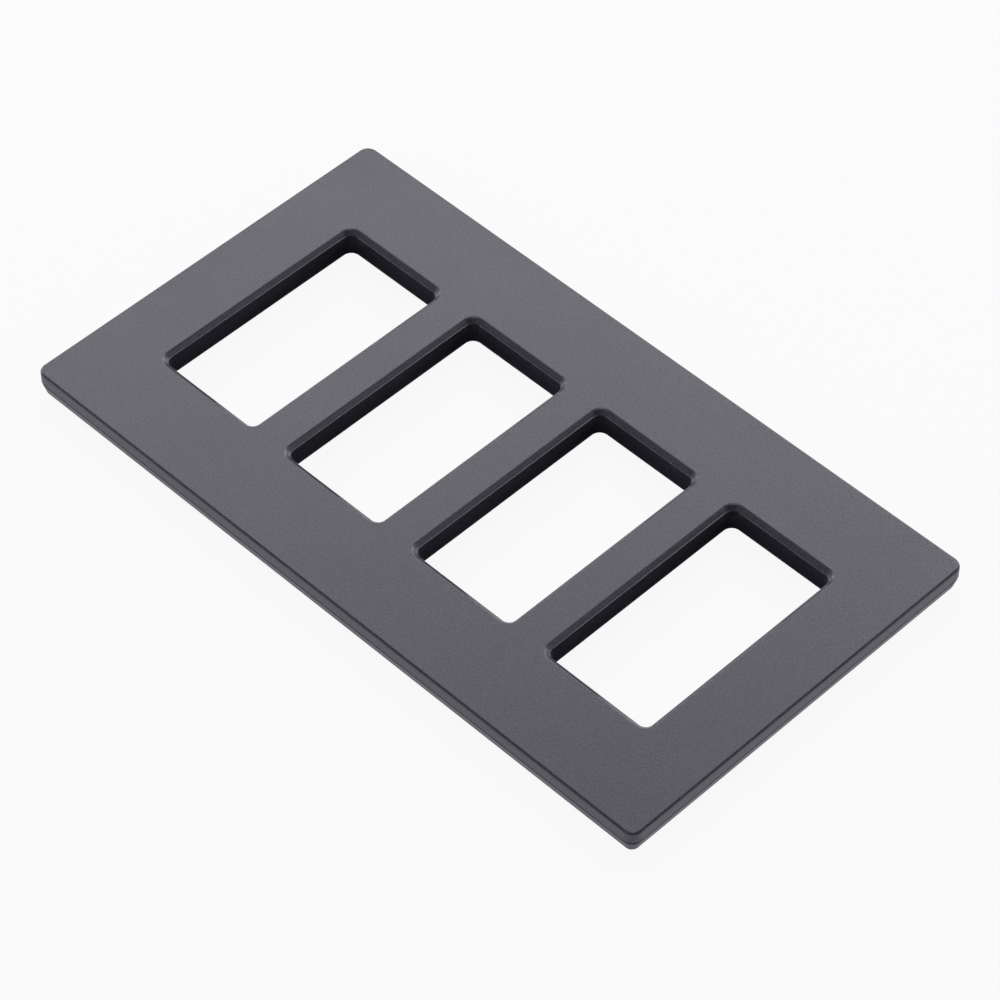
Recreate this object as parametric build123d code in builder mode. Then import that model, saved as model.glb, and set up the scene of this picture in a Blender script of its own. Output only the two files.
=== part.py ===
from build123d import *
import os
from math import atan, degrees

# A wall plate for a row of four rocker switches: a snap-on faceplate over an adapter that is
# screwed to the switches. Lengths are in millimetres. The plate lies face up: Z = 0 is the plane
# of the wall, X runs along the row of windows and Y along their height.

# Whole plate
plate_width = 212.7
plate_height = 119.1
plate_depth = 7.6

# Row of switches, each with a window that takes its rocker
gang_count = 4
gang_pitch = 46.04
window_width = 33.3
window_height = 66.6
window_corner = 2.7

# Faceplate: front wall and skirt
corner_radius = 3.1
edge_round = 0.7
front_wall = 2.0
skirt_depth = 3.6
skirt_wall = 1.8
skirt_inner_corner = 1.3

# Faceplate: bevelled mouth, ledge and throat of each window
throat_clearance = 0.05
throat_corner = 2.4
ledge_side = 0.35
ledge_end = 0.1
ledge_corner = 3.2
bevel_inset_side = 0.75
bevel_inset_end = 1.25
bevel_depth = 1.25
mouth_corner = 3.3
mouth_round = 0.6
collar_wall = 1.5

# Faceplate: ribs behind the front wall
face_rib_wall = 1.2
face_rib_clearance = 0.7
face_rib_gap = 5.0

# Adapter: rim that leans in towards the wall, and the pocket behind it
seam_gap = 0.55
seam_inset = 0.12
seam_corner = 3.0
seam_chamfer = 0.1
foot_inset = 1.1
foot_round = 0.3
rim_wall = 3.2
pocket_corner = 1.5
pocket_depth = 1.8

# Adapter: frame round each window
frame_wall = 1.6
frame_foot_chamfer = 0.1

# Adapter: lip that locates the skirt
lip_clearance = 0.25
lip_wall = 1.2
lip_inner_corner = 0.6
lip_headroom = 0.4

# Adapter: screws that hold it to the switches
screw_spacing = 96.84
screw_hole_diameter = 3.9
screw_head_diameter = 7.2
screw_head_angle = 82.0
boss_diameter = 9.6

# Adapter: ribs in the back, and the round marks of the ejector pins
back_rib_wall = 1.2
back_rib_spacing = 22.0
back_rib_rows = 3
pin_mark_diameter = 5.0
pin_mark_depth = 0.15
pin_mark_spacing = 84.0

# Snap hooks of the faceplate and their slots in the adapter
hook_width = 8.0
hook_wall = 1.2
hook_barb = 0.6
hook_lead = 0.35
hook_catch = 0.7
hook_clearance = 0.3
hook_play = 0.2

# Levels above the wall
skirt_foot = plate_depth - skirt_depth
face_back = plate_depth - front_wall
adapter_top = skirt_foot - seam_gap
face_rib_foot = adapter_top + face_rib_clearance
lip_top = face_back - lip_headroom
bevel_foot = plate_depth - bevel_depth

# Windows in the faceplate, worked out from the windows in the adapter
throat_width = window_width + 2 * throat_clearance
throat_height = window_height + 2 * throat_clearance
collar_width = throat_width + 2 * collar_wall
collar_height = throat_height + 2 * collar_wall
ledge_outer_width = throat_width + 2 * ledge_side
ledge_outer_height = throat_height + 2 * ledge_end
mouth_width = ledge_outer_width + 2 * bevel_inset_side
mouth_height = ledge_outer_height + 2 * bevel_inset_end
face_rib_row = collar_height / 2 + face_rib_gap
row_length = (gang_count - 1) * gang_pitch

# Plan of the adapter
seam_width = plate_width - 2 * seam_inset
seam_height = plate_height - 2 * seam_inset
rim_taper = degrees(atan((foot_inset - seam_inset) / adapter_top))
pocket_width = seam_width - 2 * rim_wall
pocket_height = seam_height - 2 * rim_wall
frame_width = window_width + 2 * frame_wall
frame_height = window_height + 2 * frame_wall
lip_width = plate_width - 2 * (skirt_wall + lip_clearance)
lip_height = plate_height - 2 * (skirt_wall + lip_clearance)

# Hooks: each barb reaches under the strip of floor between its slot and the rim
hook_count = gang_count + 1
barb_tip = pocket_height / 2 - hook_clearance
hook_outer = barb_tip - hook_barb
hook_inner = hook_outer - hook_wall
barb_top = pocket_depth - hook_play
hook_foot = barb_top - hook_catch
slot_outer = hook_outer + hook_clearance
slot_inner = hook_inner - hook_clearance


# Faceplate: one moulding with skirt, window collars, ribs and snap hooks
with BuildPart() as faceplate:
    with BuildSketch(Plane.XY.offset(skirt_foot)):
        RectangleRounded(plate_width, plate_height, corner_radius)
    extrude(amount=skirt_depth)
    fillet(faceplate.edges().group_by(Axis.Z)[-1], edge_round)

    # Hollow behind the front wall
    with BuildSketch(Plane.XY.offset(skirt_foot)):
        RectangleRounded(plate_width - 2 * skirt_wall, plate_height - 2 * skirt_wall, skirt_inner_corner)
    extrude(amount=face_back - skirt_foot, mode=Mode.SUBTRACT)

    # Collar round each window
    with BuildSketch(Plane.XY.offset(skirt_foot)):
        with GridLocations(gang_pitch, 0, gang_count, 1):
            RectangleRounded(collar_width, collar_height, throat_corner + collar_wall)
    extrude(amount=face_back - skirt_foot)

    # Ribs: a column between neighbouring windows, and a row above and below them
    with BuildSketch(Plane.XY.offset(face_rib_foot)):
        with GridLocations(gang_pitch, 0, gang_count - 1, 1):
            Rectangle(face_rib_wall, 2 * face_rib_row)
        with GridLocations(0, 2 * face_rib_row, 1, 2):
            Rectangle(row_length + throat_width, face_rib_wall)
    extrude(amount=face_back - face_rib_foot)

    # Straight throat of each window, then the bevel from its mouth down to the ledge
    with BuildSketch(Plane.XY.offset(skirt_foot)):
        with GridLocations(gang_pitch, 0, gang_count, 1):
            RectangleRounded(throat_width, throat_height, throat_corner)
    extrude(amount=skirt_depth, mode=Mode.SUBTRACT)
    for window_place in GridLocations(gang_pitch, 0, gang_count, 1):
        with BuildSketch(Plane(window_place.position).offset(bevel_foot)):
            RectangleRounded(ledge_outer_width, ledge_outer_height, ledge_corner)
        with BuildSketch(Plane(window_place.position).offset(plate_depth)):
            RectangleRounded(mouth_width, mouth_height, mouth_corner)
        loft(mode=Mode.SUBTRACT)
    front_face = faceplate.faces().sort_by(Axis.Z)[-1]
    fillet([edge for wire in front_face.inner_wires() for edge in wire.edges()], mouth_round)

    # Snap hooks along both long sides, with barbs that point outwards
    hook_places = GridLocations(gang_pitch, 0, hook_count, 1)
    with BuildSketch(*[Plane.YZ.offset(place.position.X) for place in hook_places]):
        with BuildLine():
            Polyline(
                (hook_inner, face_back),
                (hook_inner, hook_foot),
                (hook_outer, hook_foot),
                (barb_tip, hook_foot + hook_lead),
                (barb_tip, barb_top),
                (hook_outer, barb_top),
                (hook_outer, face_back),
                close=True,
            )
        make_face()
        mirror(about=Plane.YZ)
    extrude(amount=hook_width / 2, both=True)
faceplate.part.label = "faceplate"


# Adapter: one moulding with leaning rim, floor, window frames, screw bosses and ribs
with BuildPart() as adapter:
    with BuildSketch(Plane.XY.offset(adapter_top)):
        RectangleRounded(seam_width, seam_height, seam_corner)
    extrude(amount=-adapter_top, taper=rim_taper)
    chamfer(adapter.edges().group_by(Axis.Z)[-1], seam_chamfer)
    fillet(adapter.edges().group_by(Axis.Z)[0], foot_round)

    # Pocket in the back, under the floor
    with BuildSketch(Plane.XY):
        RectangleRounded(pocket_width, pocket_height, pocket_corner)
    extrude(amount=pocket_depth, mode=Mode.SUBTRACT)

    # Window frames, from the wall up to the foot of the faceplate's collars
    with BuildSketch(Plane.XY):
        with GridLocations(gang_pitch, 0, gang_count, 1):
            RectangleRounded(frame_width, frame_height, window_corner + frame_wall)
    extrude(amount=skirt_foot)

    # Screw bosses and ribs in the back
    with BuildSketch(Plane.XY):
        with GridLocations(gang_pitch, screw_spacing, gang_count, 2):
            Circle(boss_diameter / 2)
        with GridLocations(gang_pitch, 0, gang_count - 1, 1):
            Rectangle(back_rib_wall, frame_height)
        with GridLocations(0, screw_spacing, 1, 2):
            Rectangle(pocket_width, back_rib_wall)
        with GridLocations(0, back_rib_spacing, 1, back_rib_rows):
            Rectangle(pocket_width, back_rib_wall)
    extrude(amount=pocket_depth)

    # Lip that stands inside the faceplate's skirt
    with BuildSketch(Plane.XY.offset(adapter_top)):
        RectangleRounded(lip_width, lip_height, skirt_inner_corner)
        RectangleRounded(
            lip_width - 2 * lip_wall,
            lip_height - 2 * lip_wall,
            lip_inner_corner,
            mode=Mode.SUBTRACT,
        )
    extrude(amount=lip_top - adapter_top)

    # Windows, with a small chamfer round their back edge
    with BuildSketch(Plane.XY):
        with GridLocations(gang_pitch, 0, gang_count, 1):
            RectangleRounded(window_width, window_height, window_corner)
    extrude(amount=skirt_foot, mode=Mode.SUBTRACT)
    with BuildSketch(Plane.XY):
        with GridLocations(gang_pitch, 0, gang_count, 1):
            RectangleRounded(
                window_width + 2 * frame_foot_chamfer,
                window_height + 2 * frame_foot_chamfer,
                window_corner + frame_foot_chamfer,
            )
    extrude(amount=frame_foot_chamfer, taper=45, mode=Mode.SUBTRACT)

    # Slots that the hooks pass through
    with BuildSketch(Plane.XY.offset(pocket_depth)):
        with GridLocations(gang_pitch, slot_outer + slot_inner, hook_count, 2):
            Rectangle(hook_width + 2 * hook_clearance, slot_outer - slot_inner)
    extrude(amount=adapter_top - pocket_depth, mode=Mode.SUBTRACT)

    # Ejector pin marks in the back of the floor
    with BuildSketch(Plane.XY.offset(pocket_depth)):
        with GridLocations(gang_pitch, pin_mark_spacing, hook_count, 2):
            Circle(pin_mark_diameter / 2)
    extrude(amount=pin_mark_depth, mode=Mode.SUBTRACT)

    # Screw holes, countersunk from the front
    with Locations(Plane.XY.offset(adapter_top)):
        with GridLocations(gang_pitch, screw_spacing, gang_count, 2):
            CounterSinkHole(
                screw_hole_diameter / 2,
                screw_head_diameter / 2,
                counter_sink_angle=screw_head_angle,
            )
adapter.part.label = "adapter"


os.makedirs("parts", exist_ok=True)
export_step(faceplate.part, "parts/faceplate.step")
export_step(adapter.part, "parts/adapter.step")
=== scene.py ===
"""Studio scene of a screwless wall plate for four rocker switches.

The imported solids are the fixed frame, in metres: Z = 0 is the plane of the wall, X runs along the
row of windows and Y along their height. Both mouldings keep their own shape and get a moulded
plastic finish here. The rest of the file is the studio: floor, lamps, black cloth and camera.
"""

from __future__ import annotations

import logging
import math
from dataclasses import dataclass, field
from enum import Enum
from typing import Any

import bpy
import numpy as np
from mathutils import Matrix, Vector

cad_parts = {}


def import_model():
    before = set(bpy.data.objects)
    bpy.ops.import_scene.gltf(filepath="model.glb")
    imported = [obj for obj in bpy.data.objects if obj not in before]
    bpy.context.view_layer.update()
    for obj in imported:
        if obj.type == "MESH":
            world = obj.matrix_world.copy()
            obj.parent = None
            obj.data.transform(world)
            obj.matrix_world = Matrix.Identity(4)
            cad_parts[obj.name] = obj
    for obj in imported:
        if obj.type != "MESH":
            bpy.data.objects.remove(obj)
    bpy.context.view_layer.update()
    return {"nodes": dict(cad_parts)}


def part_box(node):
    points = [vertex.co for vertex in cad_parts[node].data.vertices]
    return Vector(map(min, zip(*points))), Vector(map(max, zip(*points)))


LOG = logging.getLogger("wall_plate")
MILLIMETRE = 0.001

Colour = tuple[float, float, float]
Point = tuple[float, float, float]
Span = tuple[float, float]

WHITE: Colour = (1.0, 1.0, 1.0)
COOL: Colour = (1.0, 0.985, 1.03)


def grey(tone: float) -> Colour:
    """Neutral colour of one tone, from 0 to 1."""
    return (tone, tone, tone)


def opaque(colour: Colour) -> tuple[float, float, float, float]:
    """Colour with full alpha, as a colour socket takes it."""
    return (*colour, 1.0)


class Visibility(Enum):
    """Which rays meet a piece of the studio."""

    MIRRORED = ("glossy",)
    BOUNCED = ("diffuse", "glossy")

    def apply(self, piece: bpy.types.Object) -> None:
        """Sets the ray switches of one piece.

        Args:
            piece: the object whose switches are set.
        """
        for ray in ("camera", "diffuse", "glossy", "transmission", "volume_scatter", "shadow"):
            setattr(piece, f"visible_{ray}", ray in self.value)


class NodeSheet:
    """Adds nodes to one node tree, in a row from left to right."""

    column_width = 190

    def __init__(self, tree: bpy.types.NodeTree) -> None:
        """Keeps the tree that the nodes go into."""
        self.tree = tree
        self.count = 0

    def add(self, kind: str, inputs: dict[Any, Any] | None = None, **settings: Any) -> bpy.types.Node:
        """Adds a node, sets its options and fills or links its sockets.

        Args:
            kind: the node's type name, without the leading ShaderNode or NodeGroup.
            inputs: value or source socket for each input, by name or number.
            settings: the node's own options.

        Returns:
            The new node.
        """
        family = "NodeGroup" if kind in ("Input", "Output") else "ShaderNode"
        node = self.tree.nodes.new(family + kind)
        node.location = (self.count * self.column_width, 0)
        self.count += 1
        for name, value in settings.items():
            setattr(node, name, value)
        for key, value in (inputs or {}).items():
            if isinstance(value, bpy.types.NodeSocket):
                self.tree.links.new(value, node.inputs[key])
            else:
                node.inputs[key].default_value = value
        return node

    def math(self, operation: str, first: Any, second: Any = 0.0, **settings: Any) -> bpy.types.NodeSocket:
        """Adds one calculation with two numbers or sockets.

        A Math node calls both its inputs Value, so they are set by number.

        Args:
            operation: what is calculated, such as MULTIPLY.
            first: left value or socket.
            second: right value or socket.
            settings: further options of the node.

        Returns:
            The socket with the result.
        """
        return self.add("Math", {0: first, 1: second}, operation=operation, **settings).outputs[0]

    def blend(self, share: Any, first: Any, second: Any, kind: str = "RGBA") -> bpy.types.NodeSocket:
        """Mixes two colours, or two numbers.

        Args:
            share: how much of the second one, from 0 to 1.
            first: what there is at share 0, or its socket.
            second: what there is at share 1, or its socket.
            kind: RGBA for colours and FLOAT for numbers.

        Returns:
            The socket with the mixture.
        """
        parts = {"Factor": share, "A": first, "B": second}
        return self.add("Mix", parts, data_type=kind).outputs["Result"]

    def ramp(
        self, value: Any, start: Any, end: Any, rising: bool = True, **settings: Any
    ) -> bpy.types.NodeSocket:
        """Maps a range of a value to 0 to 1, or to 1 to 0, and clamps it there.

        Args:
            value: the socket that is mapped.
            start: value or socket where the range starts.
            end: value or socket where it ends.
            rising: whether the result grows from 0 to 1.
            settings: further options of the node.

        Returns:
            The socket with the result.
        """
        low, high = (0.0, 1.0) if rising else (1.0, 0.0)
        limits = {"Value": value, "From Min": start, "From Max": end, "To Min": low, "To Max": high}
        return self.add("MapRange", limits, **settings).outputs["Result"]


def blank_material(title: str) -> tuple[bpy.types.Material, NodeSheet]:
    """Makes a material with an empty node tree.

    Args:
        title: the material's name.

    Returns:
        The material, and the sheet that its nodes go on.
    """
    material = bpy.data.materials.new(title)
    material.use_nodes = True
    material.node_tree.nodes.clear()
    return material, NodeSheet(material.node_tree)


class ShaderGroup:
    """A surface effect that several finishes share, built once as a node group."""

    title = ""
    controls: dict[str, float] = {}
    results: tuple[str, ...] = ()

    def tree(self) -> bpy.types.NodeTree:
        """Finds the group, or builds it the first time.

        Returns:
            The group's node tree.
        """
        found = bpy.data.node_groups.get(self.title)
        if found:
            return found
        group = bpy.data.node_groups.new(self.title, "ShaderNodeTree")
        for name, value in self.controls.items():
            socket = group.interface.new_socket(name=name, in_out="INPUT", socket_type="NodeSocketFloat")
            socket.default_value = value
        for name in self.results:
            group.interface.new_socket(name=name, in_out="OUTPUT", socket_type="NodeSocketFloat")
        sheet = NodeSheet(group)
        source = sheet.add("Input")
        made = self.draw(sheet, source)
        sheet.add("Output", made)
        return group

    def draw(self, sheet: NodeSheet, source: bpy.types.Node) -> dict[str, bpy.types.NodeSocket]:
        """Draws the effect.

        Args:
            sheet: where the nodes go.
            source: the node with the group's inputs.

        Returns:
            The socket for each result, by name.
        """
        raise NotImplementedError

    def place(self, sheet: NodeSheet, **values: float) -> bpy.types.Node:
        """Places the group in a material.

        Args:
            sheet: the material's nodes.
            values: the controls that differ from their defaults.

        Returns:
            The group's node.
        """
        return sheet.add("Group", values, node_tree=self.tree())


class MouldedGrain(ShaderGroup):
    """Spark-eroded skin of the mould: packed low bumps with finer noise and a few bright facets."""

    title = "moulded grain"
    controls = {"Grain": 0.4, "Fineness": 0.35}
    results = ("Height", "Facets")
    finer_density = 1.7
    finer_noise = {"Detail": 2.0, "Roughness": 0.6}
    facet_noise = {"Detail": 1.0, "Roughness": 0.5}
    facet_range: Span = (0.3, 0.7)

    def draw(self, sheet: NodeSheet, source: bpy.types.Node) -> dict[str, bpy.types.NodeSocket]:
        """Draws rounded cells of the grain's size, and finer noise on them.

        Args:
            sheet: where the nodes go.
            source: the node with the group's inputs. Grain is in millimetres.

        Returns:
            Height and Facets, both from 0 to 1.
        """
        place = sheet.add("TexCoord").outputs["Object"]
        density = sheet.math("DIVIDE", 1.0 / MILLIMETRE, source.outputs["Grain"])
        cells = sheet.add("TexVoronoi", {"Vector": place, "Scale": density}, feature="SMOOTH_F1")
        finer = sheet.math("MULTIPLY", density, self.finer_density)
        noise = sheet.add("TexNoise", {"Vector": place, "Scale": finer, **self.finer_noise}).outputs[0]
        domes = sheet.math("SUBTRACT", 1.0, cells.outputs["Distance"])
        height = sheet.blend(source.outputs["Fineness"], domes, noise, kind="FLOAT")
        specks = sheet.add("TexNoise", {"Vector": place, "Scale": density, **self.facet_noise}).outputs[0]
        facets = sheet.ramp(specks, *self.facet_range, interpolation_type="SMOOTHSTEP")
        return {"Height": height, "Facets": facets}


class MeltDrift(ShaderGroup):
    """Slow drift of tone and gloss where the melt ran together, in soft uneven clouds."""

    title = "melt drift"
    controls = {"Patch": 30.0, "Stretch": 1.5}
    results = ("Drift",)
    cloud_noise = {"Detail": 3.0, "Roughness": 0.45, "Distortion": 0.4}
    cloud_range: Span = (0.25, 0.75)
    mean = 0.5

    def draw(self, sheet: NodeSheet, source: bpy.types.Node) -> dict[str, bpy.types.NodeSocket]:
        """Draws clouds, longer along the plate than across it.

        Args:
            sheet: where the nodes go.
            source: the node with the group's inputs. Patch is in millimetres.

        Returns:
            Drift, from 0 to 1 round its mean.
        """
        place = sheet.add("TexCoord").outputs["Object"]
        density = sheet.math("DIVIDE", 1.0 / MILLIMETRE, source.outputs["Patch"])
        shorter = sheet.math("DIVIDE", 1.0, source.outputs["Stretch"])
        ratio = sheet.add("CombineXYZ", {"X": shorter, "Y": 1.0, "Z": 1.0}).outputs[0]
        stretched = sheet.add("VectorMath", {0: place, 1: ratio}, operation="MULTIPLY").outputs[0]
        clouds = sheet.add("TexNoise", {"Vector": stretched, "Scale": density, **self.cloud_noise}).outputs[0]
        return {"Drift": sheet.ramp(clouds, *self.cloud_range)}


class BurnishedEdgeAndPaintedHighlight(ShaderGroup):
    """Smoother skin of the rounded edges just under the front face, where the plastic is worn smooth, and a
    painted highlight on them round the windows.
    """

    title = "worn edge and painted rim highlight"
    controls = {"Front": 7.6, "Full Reach": 0.2, "Reach": 0.3, "Row Length": 95.0, "Row Height": 40.0}
    results = ("Edge", "Painted Highlight")
    face_margin: Span = (0.01, 0.04)

    def draw(self, sheet: NodeSheet, source: bpy.types.Node) -> dict[str, bpy.types.NodeSocket]:
        """Draws a band that starts just under the front face, is whole to Full Reach and ends at Reach.

        Args:
            sheet: where the nodes go.
            source: the node with the group's inputs, all in millimetres. Front is the height of the
                front face, and both reaches are depths below it. Row Length and Row Height are
                measured from the plate's centre to just outside the row of windows.

        Returns:
            Edge, which is 1 on the rounded edges and 0 elsewhere, and Painted Highlight, the same but only
            round the windows, where the painted highlight goes.
        """
        place = sheet.add("TexCoord").outputs["Object"]
        enlarge = {"Vector": place, "Scale": 1.0 / MILLIMETRE}
        scaled = sheet.add("VectorMath", enlarge, operation="SCALE").outputs[0]
        parts = sheet.add("SeparateXYZ", {"Vector": scaled}).outputs
        under = sheet.math("SUBTRACT", source.outputs["Front"], parts["Z"])
        starts = sheet.ramp(under, *self.face_margin)
        fades = sheet.ramp(under, source.outputs["Full Reach"], source.outputs["Reach"], rising=False)
        edge = sheet.math("MULTIPLY", starts, fades)
        along = sheet.math("LESS_THAN", sheet.math("ABSOLUTE", parts["X"]), source.outputs["Row Length"])
        across = sheet.math("LESS_THAN", sheet.math("ABSOLUTE", parts["Y"]), source.outputs["Row Height"])
        inside = sheet.math("MULTIPLY", along, across)
        return {"Edge": edge, "Painted Highlight": sheet.math("MULTIPLY", edge, inside)}


@dataclass(frozen=True)
class Plastic:
    """Finish of one moulding, from the plastic's own colour to the grain of its mould.

    Grain, depth and patch are in millimetres. The shares say how far the flecks, the drift and the
    painted highlight on the rims of the windows turn the body's colour into the fleck_and_highlight colour.
    """

    title: str
    body: Colour
    fleck_and_highlight: Colour
    roughness: float
    gloss_swing: float
    grain: float
    fineness: float
    depth: float
    fleck_share: float
    drift_share: float
    patch: float
    edge_polish: float = 0.0
    rim_highlight_share: float = 0.0
    ior: float = 1.5

    def material(self) -> bpy.types.Material:
        """Builds the material: grain as bump, flecks and drift in colour and roughness.

        Returns:
            The finished material.
        """
        material, sheet = blank_material(self.title)
        grain = MouldedGrain().place(sheet, Grain=self.grain, Fineness=self.fineness)
        drift = MeltDrift().place(sheet, Patch=self.patch).outputs["Drift"]
        edge = BurnishedEdgeAndPaintedHighlight().place(sheet)
        flecks = sheet.math("MULTIPLY", grain.outputs["Facets"], self.fleck_share)
        clouds = sheet.math("MULTIPLY", drift, self.drift_share)
        # Painted highlight: the rounded rims of the windows turn towards the lighter colour.
        rim_highlight = sheet.math("MULTIPLY", edge.outputs["Painted Highlight"], self.rim_highlight_share)
        moulded = sheet.math("ADD", flecks, clouds)
        share = sheet.math("ADD", moulded, rim_highlight)
        colour = sheet.blend(share, opaque(self.body), opaque(self.fleck_and_highlight))
        swing = sheet.math("SUBTRACT", drift, MeltDrift.mean)
        swung = sheet.math("MULTIPLY", swing, self.gloss_swing)
        grained = sheet.math("ADD", swung, self.roughness)
        smoother = sheet.math("MULTIPLY", edge.outputs["Edge"], -self.edge_polish)
        roughness = sheet.math("ADD", grained, smoother)
        relief = {"Strength": 1.0, "Distance": self.depth * MILLIMETRE, "Height": grain.outputs["Height"]}
        bump = sheet.add("Bump", relief).outputs[0]
        skin = {"Base Color": colour, "Roughness": roughness, "IOR": self.ior, "Normal": bump}
        shader = sheet.add("BsdfPrincipled", skin)
        sheet.add("OutputMaterial", {"Surface": shader.outputs[0]})
        return material


@dataclass
class Moulding:
    """One moulding of the plate: a CAD node that keeps its shape and gets its plastic."""

    node: str
    plastic: Plastic

    def dress(self, nodes: dict[str, bpy.types.Object]) -> None:
        """Puts the plastic on the node's material slots.

        Args:
            nodes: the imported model's objects, by node name.
        """
        solid = nodes[self.node]
        material = self.plastic.material()
        for slot in solid.material_slots:
            slot.material = material
        low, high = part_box(self.node)
        size = [round((b - a) / MILLIMETRE, 2) for a, b in zip(low, high)]
        LOG.info("%s: %s mm, %d faces, %s", self.node, size, len(solid.data.polygons), material.name)


@dataclass(frozen=True)
class Direction:
    """A direction seen from the plate's centre, in degrees."""

    azimuth: float
    elevation: float

    def vector(self) -> Vector:
        """Unit vector. Azimuth runs from +X towards +Y, and elevation up from the floor."""
        turn, rise = math.radians(self.azimuth), math.radians(self.elevation)
        return Vector((math.cos(turn) * math.cos(rise), math.sin(turn) * math.cos(rise), math.sin(rise)))


@dataclass(frozen=True)
class Softbox:
    """A flat lamp that faces the plate, with its sizes in metres."""

    title: str
    towards: Direction
    width: float
    height: float
    radiance: float
    tint: Colour = COOL
    distance: float = 2.0

    def build(self) -> None:
        """Makes the lamp. Its watts are pi times its radiance times its area."""
        lamp = bpy.data.lights.new(self.title, "AREA")
        lamp.shape = "RECTANGLE"
        lamp.size, lamp.size_y = self.width, self.height
        lamp.energy = math.pi * self.radiance * self.width * self.height
        lamp.color = self.tint
        piece = bpy.data.objects.new(self.title, lamp)
        bpy.context.scene.collection.objects.link(piece)
        away = self.towards.vector()
        piece.location = away * self.distance
        piece.rotation_euler = (-away).to_track_quat("-Z", "Y").to_euler()
        piece.visible_camera = False
        LOG.info("%s: radiance %.2f", self.title, self.radiance)


def surface(title: str, points: np.ndarray, material: bpy.types.Material) -> bpy.types.Object:
    """Makes a mesh from a grid of points, one quad between each four neighbours.

    Args:
        title: the object's name.
        points: array of rows by columns by three, in metres.
        material: what the mesh is made of.

    Returns:
        The object, at the origin.
    """
    rows, columns = points.shape[:2]
    index = np.arange(rows * columns).reshape(rows, columns)
    quads = np.stack([index[:-1, :-1], index[:-1, 1:], index[1:, 1:], index[1:, :-1]], axis=-1)
    mesh = bpy.data.meshes.new(title)
    mesh.from_pydata(points.reshape(-1, 3).tolist(), [], quads.reshape(-1, 4).tolist())
    mesh.update()
    mesh.materials.append(material)
    piece = bpy.data.objects.new(title, mesh)
    bpy.context.scene.collection.objects.link(piece)
    LOG.info("%s: %d faces, %s", title, len(mesh.polygons), material.name)
    return piece


def level_square(side: float) -> np.ndarray:
    """Works out a level square round the origin: x and y run between its sides, and z is 0.

    Args:
        side: its length, in metres.

    Returns:
        A grid of two by two points.
    """
    across, along = np.meshgrid([-side / 2, side / 2], [-side / 2, side / 2])
    return np.stack([across, along, np.zeros_like(across)], axis=-1)


def level_frame(centre: Point, width: float, depth: float, broad: float, narrow: float) -> np.ndarray:
    """Works out a level rectangle with a rectangular hole, as two closed rounds of corners.

    A corner of the outer round is the centre plus or minus half the width and half the depth. The
    inner round is smaller by both breadths, and shifted by half their difference.

    Args:
        centre: its middle, in metres.
        width: its outer size along X.
        depth: its outer size along Y.
        broad: the breadth of the frame on its -X and +Y sides.
        narrow: its breadth on the +X and -Y sides.

    Returns:
        A grid of two rounds by five points.
    """
    corners = np.array([[-0.5, -0.5], [0.5, -0.5], [0.5, 0.5], [-0.5, 0.5], [-0.5, -0.5]])
    shift = np.array([broad - narrow, narrow - broad]) / 2
    outer = corners * (width, depth)
    inner = corners * (width - broad - narrow, depth - broad - narrow) + shift
    rounds = np.stack([inner, outer])
    return np.concatenate([rounds, np.zeros((*rounds.shape[:2], 1))], axis=-1) + np.array(centre)


def sphere_piece(radius: float, turn: Span, rise: Span, columns: int = 49, rows: int = 17) -> np.ndarray:
    """Works out a piece of a sphere round the plate, facing it.

    A point is radius times (cos a cos e, sin a cos e, sin e), where a runs over the turn and e over
    the rise.

    Args:
        radius: the sphere's radius, in metres.
        turn: first and last azimuth, in degrees from +X.
        rise: lowest and highest elevation, in degrees.
        columns: points along the turn.
        rows: points along the rise.

    Returns:
        A grid of rows by columns of points.
    """
    azimuth, elevation = np.meshgrid(
        np.radians(np.linspace(*turn, columns)), np.radians(np.linspace(*rise, rows))
    )
    level = np.cos(elevation)
    points = np.stack([np.cos(azimuth) * level, np.sin(azimuth) * level, np.sin(elevation)], axis=-1)
    return radius * points[:, ::-1]


@dataclass(frozen=True)
class Drape:
    """A curved black cloth that only reflections see, given by its azimuths and elevations."""

    title: str
    turn: Span
    rise: Span
    radius: float = 2.4

    def hang(self, cloth: bpy.types.Material) -> None:
        """Makes the cloth and leaves it out of every view but the mirrored one.

        Args:
            cloth: the cloth's material.
        """
        piece = surface(self.title, sphere_piece(self.radius, self.turn, self.rise), cloth)
        Visibility.MIRRORED.apply(piece)


@dataclass
class WindowShadeCards:
    """Black cards on the floor, one round the foot of each window's walls, in metres.

    They are painted shade: they stand in for the plate's shadow on the floor at the foot of the walls,
    so that the walls mirror black instead of the white floor. A card is broad under the walls that face
    the camera and narrow under the other two.
    """

    count: int = 4
    pitch: float = 0.04604
    width: float = 0.0331
    depth: float = 0.0664
    broad: float = 0.0125
    narrow: float = 0.002
    lift: float = 0.00005

    def lay(self, cloth: bpy.types.Material) -> None:
        """Lays the cards in a row along X.

        Args:
            cloth: the cards' material.
        """
        first = -0.5 * (self.count - 1) * self.pitch
        for number in range(self.count):
            centre = (first + number * self.pitch, 0.0, self.lift)
            points = level_frame(centre, self.width, self.depth, self.broad, self.narrow)
            card = surface(f"window_shade_card_{number + 1}", points, cloth)
            Visibility.BOUNCED.apply(card)


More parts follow.
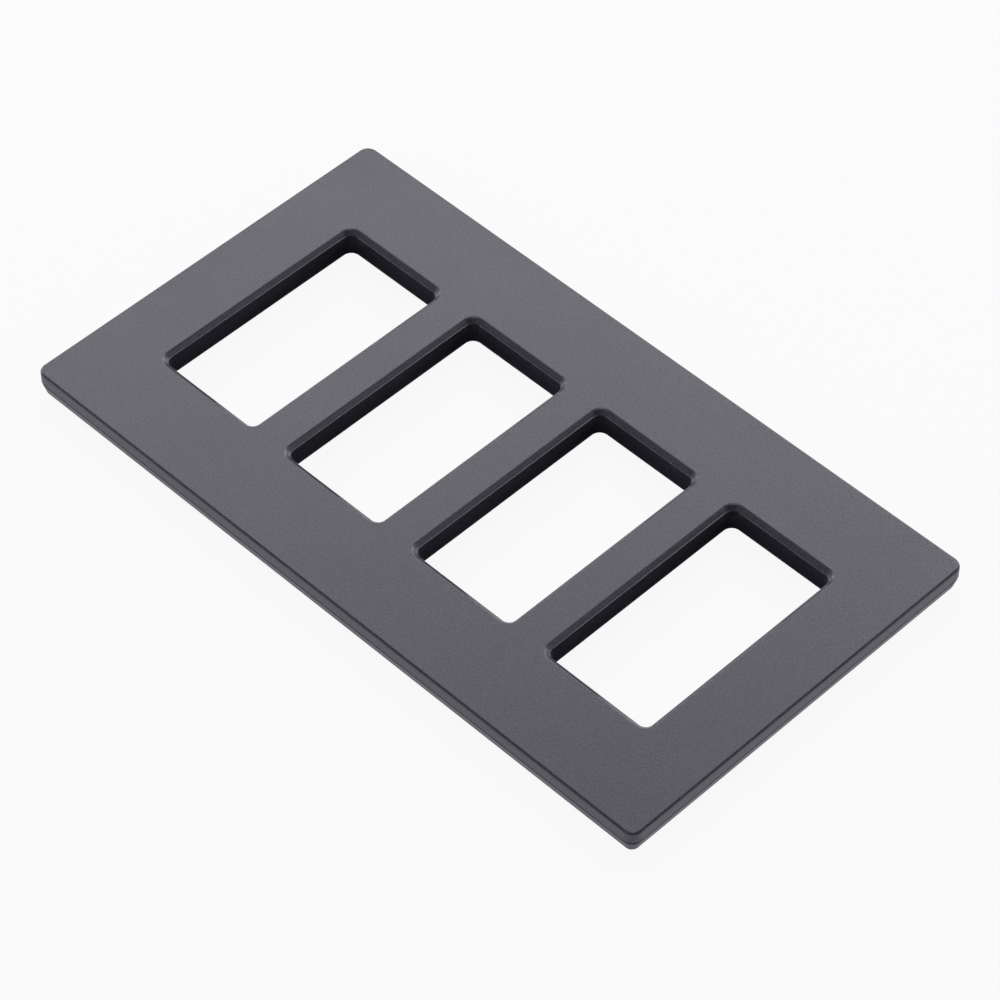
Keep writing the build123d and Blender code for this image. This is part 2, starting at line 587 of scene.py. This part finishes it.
@dataclass
class Studio:
    """Floor, surroundings, lamps and black cloth round the plate."""

    floor_size: float = 8.0
    floor_tone: float = 0.88
    bounce_tone: float = 0.5
    shadow_share: float = 0.08
    mirrored_white: Colour = (0.94, 0.925, 1.0)
    ambient: float = 0.12
    cloth_tone: float = 0.03
    cards: WindowShadeCards = field(default_factory=WindowShadeCards)
    drapes: tuple[Drape, ...] = (
        Drape("black_drape", turn=(-142.0, 52.0), rise=(13.0, 62.0)),
        Drape("black_canopy", turn=(60.0, 210.0), rise=(60.0, 80.0)),
        Drape("black_right_wing", turn=(52.0, 105.0), rise=(0.0, 19.0)),
        Drape("black_left_wing", turn=(165.0, 218.0), rise=(0.0, 19.0)),
    )
    lamps: tuple[Softbox, ...] = (
        Softbox("back_right_softbox", Direction(105.0, 42.0), 0.79, 0.53, radiance=4.65),
        Softbox("back_softbox", Direction(135.0, 42.0), 0.79, 0.53, radiance=3.65),
        Softbox("back_left_softbox", Direction(165.0, 42.0), 0.79, 0.53, radiance=3.5),
        Softbox("right_strip", Direction(97.0, 27.0), 1.46, 0.53, radiance=1.6),
        Softbox("left_strip", Direction(180.0, 27.0), 0.95, 0.53, radiance=1.5),
        Softbox("low_right_strip", Direction(82.0, 8.0), 1.46, 0.2, radiance=7.5),
        Softbox("low_left_strip", Direction(188.0, 8.0), 1.46, 0.2, radiance=7.5),
        Softbox("top_softbox", Direction(-45.0, 84.0), 0.6, 0.6, radiance=1.6, tint=WHITE),
        Softbox("right_fill", Direction(30.0, 14.0), 1.41, 0.49, radiance=1.0),
        Softbox("left_fill", Direction(240.0, 14.0), 1.41, 0.49, radiance=1.0),
        Softbox("front_fill", Direction(270.0, 30.0), 1.25, 1.07, radiance=0.7),
    )

    def build(self) -> None:
        """Builds the whole studio.

        The drape on the camera's side makes the dark line along the near edges. The canopy and the
        wings dim the sheen of the top in low views.
        """
        self.lay_floor()
        cloth = self.black_cloth()
        for drape in self.drapes:
            drape.hang(cloth)
        # Painted shade: black cards at the foot of the window walls stand in for the floor's shadow there.
        self.cards.lay(cloth)
        self.light_surroundings()
        for lamp in self.lamps:
            lamp.build()

    @staticmethod
    def background_rays(sheet: NodeSheet) -> bpy.types.NodeSocket:
        """Adds up the rays that see the white background: camera, glossy and transmission.

        Args:
            sheet: where the nodes go.

        Returns:
            A socket that is 1 for such a ray and 0 for any other.
        """
        path = sheet.add("LightPath")
        mirrored = sheet.math("ADD", path.outputs["Is Camera Ray"], path.outputs["Is Glossy Ray"])
        return sheet.math("ADD", mirrored, path.outputs["Is Transmission Ray"], use_clamp=True)

    def background_white(self, sheet: NodeSheet) -> bpy.types.NodeSocket:
        """Adds the white of the background: plain to the camera, and slightly cool where it is mirrored.

        Args:
            sheet: where the nodes go.

        Returns:
            The socket with the colour.
        """
        glossy = sheet.add("LightPath").outputs["Is Glossy Ray"]
        return sheet.blend(glossy, opaque(WHITE), opaque(self.mirrored_white))

    def lay_floor(self) -> None:
        """Lays the pale floor: white where it is the background, with the plate's soft shadow."""
        material, sheet = blank_material("pale floor")
        bounced = sheet.add("LightPath").outputs["Is Diffuse Ray"]
        tone = sheet.blend(bounced, opaque(grey(self.floor_tone)), opaque(grey(self.bounce_tone)))
        paper = sheet.add("BsdfDiffuse", {"Color": tone}).outputs[0]
        white = sheet.add("Emission", {"Color": self.background_white(sheet), "Strength": 1.0}).outputs[0]
        lift = sheet.math("MULTIPLY", self.background_rays(sheet), 1.0 - self.shadow_share)
        lit = sheet.add("MixShader", {0: lift, 1: paper, 2: white}).outputs[0]
        clear = sheet.add("BsdfTransparent").outputs[0]
        below = sheet.add("NewGeometry").outputs["Backfacing"]
        both = sheet.add("MixShader", {0: below, 1: lit, 2: clear}).outputs[0]
        sheet.add("OutputMaterial", {"Surface": both})
        surface("floor", level_square(self.floor_size), material)

    def black_cloth(self) -> bpy.types.Material:
        """Builds the matt black of the drapes and the cards.

        Returns:
            The material.
        """
        material, sheet = blank_material("black cloth")
        cloth = sheet.add("BsdfDiffuse", {"Color": opaque(grey(self.cloth_tone))})
        sheet.add("OutputMaterial", {"Surface": cloth.outputs[0]})
        return material

    def light_surroundings(self) -> None:
        """Makes the world white as a background and dim as a source of light."""
        world = bpy.data.worlds.new("studio surroundings")
        bpy.context.scene.world = world
        world.use_nodes = True
        world.node_tree.nodes.clear()
        sheet = NodeSheet(world.node_tree)
        dim = opaque(grey(self.ambient))
        colour = sheet.blend(self.background_rays(sheet), dim, self.background_white(sheet))
        light = sheet.add("Background", {"Color": colour, "Strength": 1.0})
        sheet.add("OutputWorld", {"Surface": light.outputs[0]})


@dataclass(frozen=True)
class Viewpoint:
    """Camera at the photograph's viewing angle, in metres and degrees, with its lens in millimetres."""

    position: Point = (0.483325, -0.485388, 0.769071)
    aim: Point = (0.005284, -0.001902, 0.0)
    roll: float = 0.209
    lens: float = 146.0254
    sensor: float = 36.0
    clip: Span = (0.01, 50.0)

    def build(self) -> None:
        """Makes the camera and gives it to the scene."""
        camera = bpy.data.cameras.new("camera")
        camera.sensor_width = self.sensor
        camera.lens = self.lens
        camera.clip_start, camera.clip_end = self.clip
        piece = bpy.data.objects.new("camera", camera)
        bpy.context.scene.collection.objects.link(piece)
        forward = (Vector(self.aim) - Vector(self.position)).normalized()
        level = forward.cross(Vector((0.0, 0.0, 1.0))).normalized()
        lean = math.radians(self.roll)
        up = level.cross(forward) * math.cos(lean) - level * math.sin(lean)
        right = forward.cross(up)
        turned = Matrix((right, up, -forward)).transposed()
        piece.matrix_world = Matrix.Translation(Vector(self.position)) @ turned.to_4x4()
        bpy.context.scene.camera = piece


FACE_PLASTIC = Plastic(
    title="charcoal face plastic",
    body=(0.0323, 0.0315, 0.0458),
    fleck_and_highlight=(0.089, 0.087, 0.1135),
    roughness=0.36,
    gloss_swing=0.05,
    grain=0.42,
    fineness=0.4,
    depth=0.028,
    fleck_share=0.8,
    drift_share=0.12,
    patch=28.0,
    edge_polish=0.2,
    # Strength of the painted highlight round the windows.
    rim_highlight_share=0.8,
)
ADAPTER_PLASTIC = Plastic(
    title="charcoal adapter plastic",
    body=(0.041, 0.0395, 0.058),
    fleck_and_highlight=(0.076, 0.073, 0.1),
    roughness=0.46,
    gloss_swing=0.06,
    grain=0.6,
    fineness=0.5,
    depth=0.008,
    fleck_share=0.25,
    drift_share=0.18,
    patch=18.0,
)


def main() -> None:
    """Loads the frame, builds the camera and the studio, and dresses both mouldings."""
    logging.basicConfig(level=logging.INFO, format="%(name)s: %(message)s")
    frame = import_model()
    bpy.context.scene.view_settings.view_transform = "Standard"
    Viewpoint().build()
    Studio().build()
    for moulding in (Moulding("faceplate", FACE_PLASTIC), Moulding("adapter", ADAPTER_PLASTIC)):
        moulding.dress(frame["nodes"])


if __name__ == "__main__":
    main()
